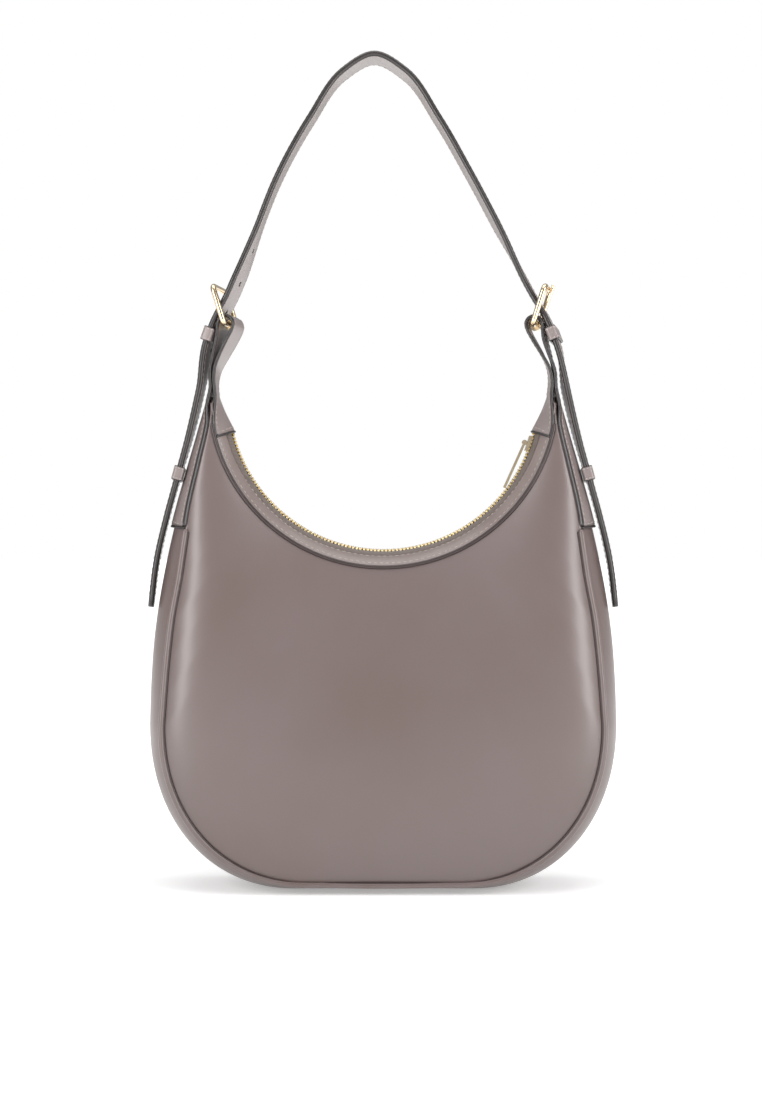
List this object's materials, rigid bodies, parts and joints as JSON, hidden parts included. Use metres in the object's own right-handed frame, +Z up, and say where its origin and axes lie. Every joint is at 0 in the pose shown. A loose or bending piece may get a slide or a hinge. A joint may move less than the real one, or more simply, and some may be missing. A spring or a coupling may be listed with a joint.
{
  "type": "hobo bag",
  "caption": "Soft leather hobo bag with a crescent zip mouth between two horns, a piped gusset, a buckled shoulder strap with hanging tails, and a flat-pressed base.",
  "frame": {"origin": "on the floor under the middle of the bag", "axes": "+X to the bag's right as seen from the front, +Y towards the back, +Z up"},
  "size_m": [0.3212, 0.08, 0.5665],
  "materials": {
    "smooth_leather": "smooth finished leather, soft satin",
    "piping_leather": "smooth leather rolled over a cord",
    "tab_leather": "smooth leather with dark painted edges and light stitching",
    "strap_leather": "doubled smooth leather with dark painted edges",
    "band_leather": "smooth leather with two rows of light stitching",
    "lining_cloth": "woven cotton twill",
    "base_board": "stiff fibre board",
    "zip_tape": "woven zip tape",
    "zip_metal": "pale gold plated zip metal",
    "gold_hardware": "polished champagne gold plating"
  },
  "bodies": {
    "bag": {"front_panel": "smooth_leather", "back_panel": "smooth_leather", "gusset": "smooth_leather", "front_piping": "piping_leather", "back_piping": "piping_leather", "lining": "lining_cloth", "inner_pocket": "lining_cloth", "base_board": "base_board", "left_zip_end_tab": "tab_leather", "right_zip_end_tab": "tab_leather", "left_side_tab": "tab_leather", "right_side_tab": "tab_leather", "left_lower_keeper": "tab_leather", "right_lower_keeper": "tab_leather", "left_strap_tail": "strap_leather", "right_strap_tail": "strap_leather", "zip_band_ends": "band_leather", "zip_tape_ends": "zip_tape", "zip_teeth_ends": "zip_metal", "zip_top_stops": "zip_metal", "zip_bottom_stop": "zip_metal"},
    "front_mouth": {"front_zip_band": "band_leather", "front_zip_tape": "zip_tape", "front_zip_teeth": "zip_metal"},
    "back_mouth": {"back_zip_band": "band_leather", "back_zip_tape": "zip_tape", "back_zip_teeth": "zip_metal"},
    "slider": {"zip_slider": "gold_hardware"},
    "pull": {"zip_pull": "gold_hardware"},
    "strap": {"shoulder_strap": "strap_leather", "left_buckle_tab": "tab_leather", "right_buckle_tab": "tab_leather", "left_upper_keeper": "tab_leather", "right_upper_keeper": "tab_leather"},
    "left_buckle": {"left_buckle_frame": "gold_hardware"},
    "right_buckle": {"right_buckle_frame": "gold_hardware"},
    "left_prong": {"left_buckle_prong": "gold_hardware"},
    "right_prong": {"right_buckle_prong": "gold_hardware"}
  },
  "joints": [
    {"name": "zip_travel", "type": "hinge", "parent": "bag", "child": "slider", "pos_m": [0, 0, 0.3345], "axis": [0, 1, 0], "range_deg": [0, 143]},
    {"name": "pull_swing", "type": "hinge", "parent": "slider", "child": "pull", "pos_m": [0.09645, 0, 0.30223], "axis": [0, 1, 0], "range_deg": [0, 110]},
    {"name": "front_mouth_open", "type": "hinge", "parent": "bag", "child": "front_mouth", "pos_m": [0, 0, 0.312], "axis": [-1, 0, 0], "range_deg": [0, 20]},
    {"name": "back_mouth_open", "type": "hinge", "parent": "bag", "child": "back_mouth", "pos_m": [0, 0, 0.312], "axis": [1, 0, 0], "range_deg": [0, 20]},
    {"name": "strap_fold", "type": "hinge", "parent": "bag", "child": "strap", "pos_m": [0, 0, 0.352], "axis": [1, 0, 0], "range_deg": [-90, 90]},
    {"name": "left_buckle_tilt", "type": "hinge", "parent": "strap", "child": "left_buckle", "pos_m": [-0.104, 0, 0.382], "axis": [0, -1, 0], "range_deg": [0, 8]},
    {"name": "right_buckle_tilt", "type": "hinge", "parent": "strap", "child": "right_buckle", "pos_m": [0.104, 0, 0.382], "axis": [0, 1, 0], "range_deg": [0, 8]},
    {"name": "left_prong_lift", "type": "hinge", "parent": "left_buckle", "child": "left_prong", "pos_m": [-0.104, 0, 0.382], "axis": [0, -1, 0], "range_deg": [0, 6]},
    {"name": "right_prong_lift", "type": "hinge", "parent": "right_buckle", "child": "right_prong", "pos_m": [0.104, 0, 0.382], "axis": [0, 1, 0], "range_deg": [0, 6]}
  ]
}
